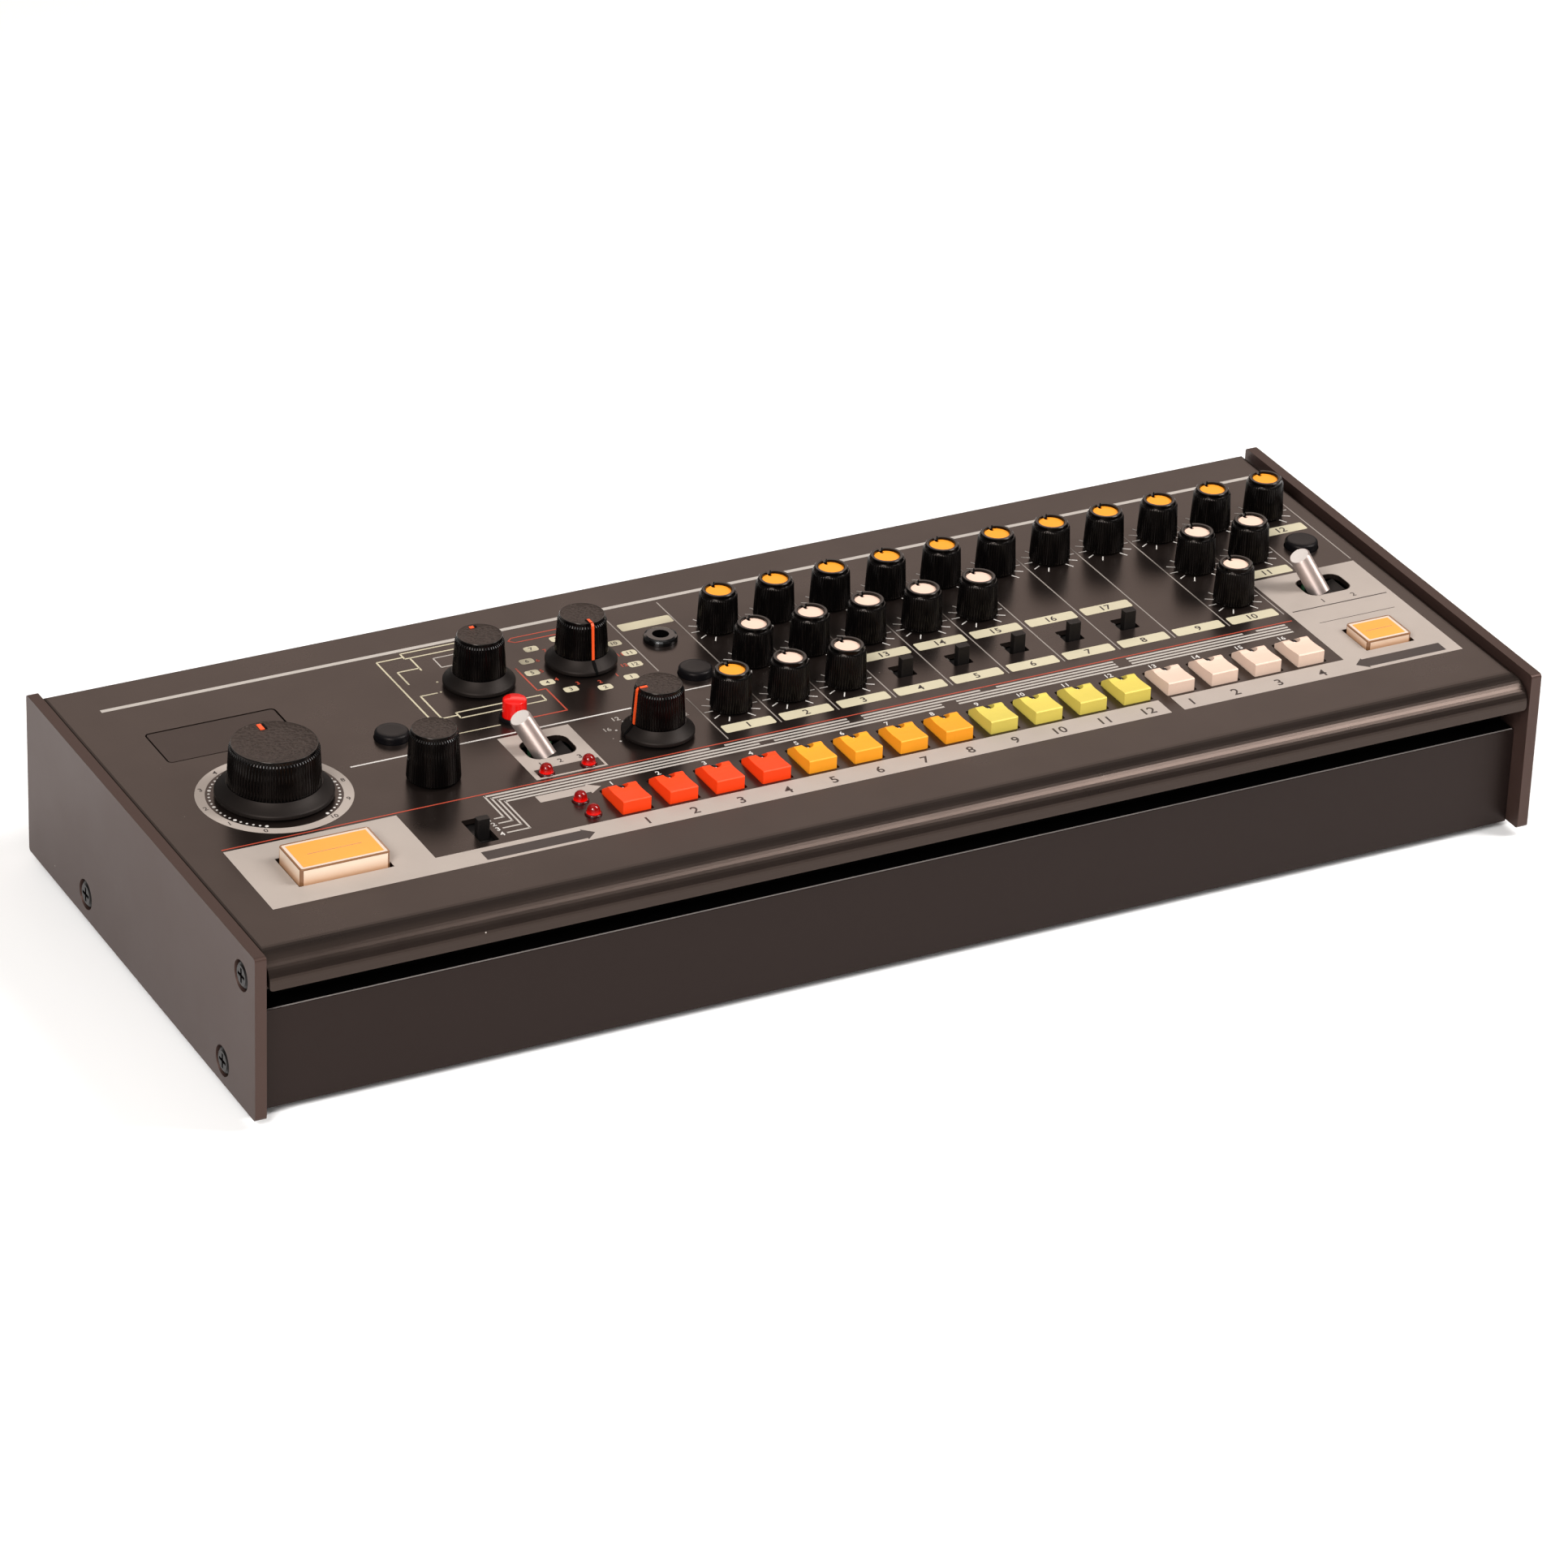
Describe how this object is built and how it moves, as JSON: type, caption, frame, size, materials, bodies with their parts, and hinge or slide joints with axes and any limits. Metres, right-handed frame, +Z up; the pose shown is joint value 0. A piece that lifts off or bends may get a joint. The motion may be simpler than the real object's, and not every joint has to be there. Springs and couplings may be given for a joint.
{
  "type": "drum machine",
  "caption": "Low desktop rhythm machine in a dark metal case with end plates, coloured step keys, small round knobs in columns, two tilting levers and a large tempo dial.",
  "frame": {"origin": "on the table, under the middle of the case", "axes": "+X to the right along the row of keys, +Y to the back, +Z up from the table"},
  "size_m": [0.308, 0.1238, 0.0517],
  "materials": {
    "panel_metal": "satin paint",
    "case_metal": "satin paint",
    "plate_metal": "satin paint",
    "screw_steel": "blackened",
    "foot_rubber": "matte",
    "board": "lacquered board",
    "lamp_lens": "tinted lens",
    "window_tint": "satin tint",
    "socket_black": "moulded",
    "knob_black": "fine grain",
    "lever_aluminium": "turned",
    "cap_amber": "clear shell over a coloured insert",
    "button_black": "satin",
    "slider_black": "fine grain",
    "key_red": "satin",
    "key_orange": "satin",
    "key_yellow": "satin",
    "key_cream": "satin"
  },
  "bodies": {
    "case": {"lower_case": "case_metal", "top_panel": "panel_metal", "left_end_plate": "plate_metal", "right_end_plate": "plate_metal", "end_plate_screws": "screw_steel", "rubber_feet": "foot_rubber", "control_board": "board", "lamps": "lamp_lens", "display_window": "window_tint", "jack_sockets": "socket_black"},
    "rhythm_lever": {"rhythm_lever": "lever_aluminium"},
    "fill_lever": {"fill_lever": "lever_aluminium"},
    "prescale_slider": {"prescale_slider": "slider_black"},
    "selector_sliders": {"selector_sliders": "slider_black"},
    "start_button": {"start_button": "cap_amber"},
    "tap_button": {"tap_button": "cap_amber"},
    "function_buttons": {"function_buttons": "button_black"},
    "tempo_knob": {"tempo_knob": "knob_black"},
    "mode_knob": {"mode_knob": "knob_black"},
    "instrument_knob": {"instrument_knob": "knob_black"},
    "fill_knob": {"fill_knob": "knob_black"},
    "value_knob": {"value_knob": "knob_black"},
    "step_key_01": {"step_key_01": "key_red"},
    "step_key_02": {"step_key_02": "key_red"},
    "step_key_03": {"step_key_03": "key_red"},
    "step_key_04": {"step_key_04": "key_red"},
    "step_key_05": {"step_key_05": "key_orange"},
    "step_key_06": {"step_key_06": "key_orange"},
    "step_key_07": {"step_key_07": "key_orange"},
    "step_key_08": {"step_key_08": "key_orange"},
    "step_key_09": {"step_key_09": "key_yellow"},
    "step_key_10": {"step_key_10": "key_yellow"},
    "step_key_11": {"step_key_11": "key_yellow"},
    "step_key_12": {"step_key_12": "key_yellow"},
    "step_key_13": {"step_key_13": "key_cream"},
    "step_key_14": {"step_key_14": "key_cream"},
    "step_key_15": {"step_key_15": "key_cream"},
    "step_key_16": {"step_key_16": "key_cream"},
    "voice_knob_top_01": {"voice_knob_top_01": "knob_black"},
    "voice_knob_top_02": {"voice_knob_top_02": "knob_black"},
    "voice_knob_top_03": {"voice_knob_top_03": "knob_black"},
    "voice_knob_top_04": {"voice_knob_top_04": "knob_black"},
    "voice_knob_top_05": {"voice_knob_top_05": "knob_black"},
    "voice_knob_top_06": {"voice_knob_top_06": "knob_black"},
    "voice_knob_top_07": {"voice_knob_top_07": "knob_black"},
    "voice_knob_top_08": {"voice_knob_top_08": "knob_black"},
    "voice_knob_top_09": {"voice_knob_top_09": "knob_black"},
    "voice_knob_top_10": {"voice_knob_top_10": "knob_black"},
    "voice_knob_top_11": {"voice_knob_top_11": "knob_black"},
    "voice_knob_middle_01": {"voice_knob_middle_01": "knob_black"},
    "voice_knob_middle_02": {"voice_knob_middle_02": "knob_black"},
    "voice_knob_middle_03": {"voice_knob_middle_03": "knob_black"},
    "voice_knob_middle_04": {"voice_knob_middle_04": "knob_black"},
    "voice_knob_middle_05": {"voice_knob_middle_05": "knob_black"},
    "voice_knob_middle_09": {"voice_knob_middle_09": "knob_black"},
    "voice_knob_middle_10": {"voice_knob_middle_10": "knob_black"},
    "voice_knob_low_00": {"voice_knob_low_00": "knob_black"},
    "voice_knob_low_01": {"voice_knob_low_01": "knob_black"},
    "voice_knob_low_02": {"voice_knob_low_02": "knob_black"},
    "voice_knob_low_09": {"voice_knob_low_09": "knob_black"}
  },
  "joints": [
    {"name": "rhythm_lever_tilt", "type": "hinge", "parent": "case", "child": "rhythm_lever", "pos_m": [-0.05975, -0.0021, 0.036], "axis": [0, 1, 0], "range_deg": [0, 61]},
    {"name": "fill_lever_tilt", "type": "hinge", "parent": "case", "child": "fill_lever", "pos_m": [0.13345, -0.00295, 0.036], "axis": [0, 1, 0], "range_deg": [0, 61]},
    {"name": "prescale_slide", "type": "slide", "parent": "case", "child": "prescale_slider", "axis": [0, 1, 0], "range_m": [-0.0021, 0.0043]},
    {"name": "selectors_slide", "type": "slide", "parent": "case", "child": "selector_sliders", "axis": [0, 1, 0], "range_m": [0, 0.0027]},
    {"name": "start_button_press", "type": "slide", "parent": "case", "child": "start_button", "axis": [0, 0, -1], "range_m": [0, 0.0015], "stiffness_N_per_m": 300, "springref_m": -0.0005},
    {"name": "tap_button_press", "type": "slide", "parent": "case", "child": "tap_button", "axis": [0, 0, -1], "range_m": [0, 0.0012], "stiffness_N_per_m": 300, "springref_m": -0.0005},
    {"name": "function_buttons_press", "type": "slide", "parent": "case", "child": "function_buttons", "axis": [0, 0, -1], "range_m": [0, 0.001], "stiffness_N_per_m": 300, "springref_m": -0.0005},
    {"name": "tempo_knob_turn", "type": "hinge", "parent": "case", "child": "tempo_knob", "pos_m": [-0.1217, 0.00235, 0.0451], "axis": [0, 0, 1], "range_deg": [-150, 150]},
    {"name": "mode_knob_turn", "type": "hinge", "parent": "case", "child": "mode_knob", "pos_m": [-0.06125, 0.02995, 0.0451], "axis": [0, 0, 1], "range_deg": [-150, 150]},
    {"name": "instrument_knob_turn", "type": "hinge", "parent": "case", "child": "instrument_knob", "pos_m": [-0.0366, 0.02995, 0.0451], "axis": [0, 0, 1], "range_deg": [-150, 180]},
    {"name": "fill_knob_turn", "type": "hinge", "parent": "case", "child": "fill_knob", "pos_m": [-0.0355, -0.00585, 0.0451], "axis": [0, 0, 1], "range_deg": [-240, 60]},
    {"name": "value_knob_turn", "type": "hinge", "parent": "case", "child": "value_knob", "pos_m": [-0.088, -0.00465, 0.0451], "axis": [0, 0, 1], "continuous": true},
    {"name": "step_key_01_press", "type": "slide", "parent": "case", "child": "step_key_01", "axis": [0, 0, -1], "range_m": [0, 0.0012], "stiffness_N_per_m": 300, "springref_m": -0.0005},
    {"name": "step_key_02_press", "type": "slide", "parent": "case", "child": "step_key_02", "axis": [0, 0, -1], "range_m": [0, 0.0012], "stiffness_N_per_m": 300, "springref_m": -0.0005},
    {"name": "step_key_03_press", "type": "slide", "parent": "case", "child": "step_key_03", "axis": [0, 0, -1], "range_m": [0, 0.0012], "stiffness_N_per_m": 300, "springref_m": -0.0005},
    {"name": "step_key_04_press", "type": "slide", "parent": "case", "child": "step_key_04", "axis": [0, 0, -1], "range_m": [0, 0.0012], "stiffness_N_per_m": 300, "springref_m": -0.0005},
    {"name": "step_key_05_press", "type": "slide", "parent": "case", "child": "step_key_05", "axis": [0, 0, -1], "range_m": [0, 0.0012], "stiffness_N_per_m": 300, "springref_m": -0.0005},
    {"name": "step_key_06_press", "type": "slide", "parent": "case", "child": "step_key_06", "axis": [0, 0, -1], "range_m": [0, 0.0012], "stiffness_N_per_m": 300, "springref_m": -0.0005},
    {"name": "step_key_07_press", "type": "slide", "parent": "case", "child": "step_key_07", "axis": [0, 0, -1], "range_m": [0, 0.0012], "stiffness_N_per_m": 300, "springref_m": -0.0005},
    {"name": "step_key_08_press", "type": "slide", "parent": "case", "child": "step_key_08", "axis": [0, 0, -1], "range_m": [0, 0.0012], "stiffness_N_per_m": 300, "springref_m": -0.0005},
    {"name": "step_key_09_press", "type": "slide", "parent": "case", "child": "step_key_09", "axis": [0, 0, -1], "range_m": [0, 0.0012], "stiffness_N_per_m": 300, "springref_m": -0.0005},
    {"name": "step_key_10_press", "type": "slide", "parent": "case", "child": "step_key_10", "axis": [0, 0, -1], "range_m": [0, 0.0012], "stiffness_N_per_m": 300, "springref_m": -0.0005},
    {"name": "step_key_11_press", "type": "slide", "parent": "case", "child": "step_key_11", "axis": [0, 0, -1], "range_m": [0, 0.0012], "stiffness_N_per_m": 300, "springref_m": -0.0005},
    {"name": "step_key_12_press", "type": "slide", "parent": "case", "child": "step_key_12", "axis": [0, 0, -1], "range_m": [0, 0.0012], "stiffness_N_per_m": 300, "springref_m": -0.0005},
    {"name": "step_key_13_press", "type": "slide", "parent": "case", "child": "step_key_13", "axis": [0, 0, -1], "range_m": [0, 0.0012], "stiffness_N_per_m": 300, "springref_m": -0.0005},
    {"name": "step_key_14_press", "type": "slide", "parent": "case", "child": "step_key_14", "axis": [0, 0, -1], "range_m": [0, 0.0012], "stiffness_N_per_m": 300, "springref_m": -0.0005},
    {"name": "step_key_15_press", "type": "slide", "parent": "case", "child": "step_key_15", "axis": [0, 0, -1], "range_m": [0, 0.0012], "stiffness_N_per_m": 300, "springref_m": -0.0005},
    {"name": "step_key_16_press", "type": "slide", "parent": "case", "child": "step_key_16", "axis": [0, 0, -1], "range_m": [0, 0.0012], "stiffness_N_per_m": 300, "springref_m": -0.0005},
    {"name": "voice_knob_top_01_turn", "type": "hinge", "parent": "case", "child": "voice_knob_top_01", "pos_m": [-0.00165, 0.03293, 0.0451], "axis": [0, 0, 1], "range_deg": [-150, 150]},
    {"name": "voice_knob_top_02_turn", "type": "hinge", "parent": "case", "child": "voice_knob_top_02", "pos_m": [0.0124, 0.03293, 0.0451], "axis": [0, 0, 1], "range_deg": [-150, 150]},
    {"name": "voice_knob_top_03_turn", "type": "hinge", "parent": "case", "child": "voice_knob_top_03", "pos_m": [0.02645, 0.03293, 0.0451], "axis": [0, 0, 1], "range_deg": [-150, 150]},
    {"name": "voice_knob_top_04_turn", "type": "hinge", "parent": "case", "child": "voice_knob_top_04", "pos_m": [0.0405, 0.03293, 0.0451], "axis": [0, 0, 1], "range_deg": [-150, 150]},
    {"name": "voice_knob_top_05_turn", "type": "hinge", "parent": "case", "child": "voice_knob_top_05", "pos_m": [0.05455, 0.03293, 0.0451], "axis": [0, 0, 1], "range_deg": [-150, 150]},
    {"name": "voice_knob_top_06_turn", "type": "hinge", "parent": "case", "child": "voice_knob_top_06", "pos_m": [0.0686, 0.03293, 0.0451], "axis": [0, 0, 1], "range_deg": [-150, 150]},
    {"name": "voice_knob_top_07_turn", "type": "hinge", "parent": "case", "child": "voice_knob_top_07", "pos_m": [0.08265, 0.03293, 0.0451], "axis": [0, 0, 1], "range_deg": [-150, 150]},
    {"name": "voice_knob_top_08_turn", "type": "hinge", "parent": "case", "child": "voice_knob_top_08", "pos_m": [0.0967, 0.03293, 0.0451], "axis": [0, 0, 1], "range_deg": [-150, 150]},
    {"name": "voice_knob_top_09_turn", "type": "hinge", "parent": "case", "child": "voice_knob_top_09", "pos_m": [0.11075, 0.03293, 0.0451], "axis": [0, 0, 1], "range_deg": [-150, 150]},
    {"name": "voice_knob_top_10_turn", "type": "hinge", "parent": "case", "child": "voice_knob_top_10", "pos_m": [0.1248, 0.03293, 0.0451], "axis": [0, 0, 1], "range_deg": [-150, 150]},
    {"name": "voice_knob_top_11_turn", "type": "hinge", "parent": "case", "child": "voice_knob_top_11", "pos_m": [0.13885, 0.03293, 0.0451], "axis": [0, 0, 1], "range_deg": [-150, 150]},
    {"name": "voice_knob_middle_01_turn", "type": "hinge", "parent": "case", "child": "voice_knob_middle_01", "pos_m": [-0.00165, 0.01569, 0.0451], "axis": [0, 0, 1], "range_deg": [-150, 150]},
    {"name": "voice_knob_middle_02_turn", "type": "hinge", "parent": "case", "child": "voice_knob_middle_02", "pos_m": [0.0124, 0.01569, 0.0451], "axis": [0, 0, 1], "range_deg": [-150, 150]},
    {"name": "voice_knob_middle_03_turn", "type": "hinge", "parent": "case", "child": "voice_knob_middle_03", "pos_m": [0.02645, 0.01569, 0.0451], "axis": [0, 0, 1], "range_deg": [-150, 150]},
    {"name": "voice_knob_middle_04_turn", "type": "hinge", "parent": "case", "child": "voice_knob_middle_04", "pos_m": [0.0405, 0.01569, 0.0451], "axis": [0, 0, 1], "range_deg": [-150, 150]},
    {"name": "voice_knob_middle_05_turn", "type": "hinge", "parent": "case", "child": "voice_knob_middle_05", "pos_m": [0.05455, 0.01569, 0.0451], "axis": [0, 0, 1], "range_deg": [-150, 150]},
    {"name": "voice_knob_middle_09_turn", "type": "hinge", "parent": "case", "child": "voice_knob_middle_09", "pos_m": [0.11075, 0.01569, 0.0451], "axis": [0, 0, 1], "range_deg": [-150, 150]},
    {"name": "voice_knob_middle_10_turn", "type": "hinge", "parent": "case", "child": "voice_knob_middle_10", "pos_m": [0.1248, 0.01569, 0.0451], "axis": [0, 0, 1], "range_deg": [-150, 150]},
    {"name": "voice_knob_low_00_turn", "type": "hinge", "parent": "case", "child": "voice_knob_low_00", "pos_m": [-0.0157, -0.00155, 0.0451], "axis": [0, 0, 1], "range_deg": [-150, 150]},
    {"name": "voice_knob_low_01_turn", "type": "hinge", "parent": "case", "child": "voice_knob_low_01", "pos_m": [-0.00165, -0.00155, 0.0451], "axis": [0, 0, 1], "range_deg": [-150, 150]},
    {"name": "voice_knob_low_02_turn", "type": "hinge", "parent": "case", "child": "voice_knob_low_02", "pos_m": [0.0124, -0.00155, 0.0451], "axis": [0, 0, 1], "range_deg": [-150, 150]},
    {"name": "voice_knob_low_09_turn", "type": "hinge", "parent": "case", "child": "voice_knob_low_09", "pos_m": [0.11075, -0.00155, 0.0451], "axis": [0, 0, 1], "range_deg": [-150, 150]}
  ]
}
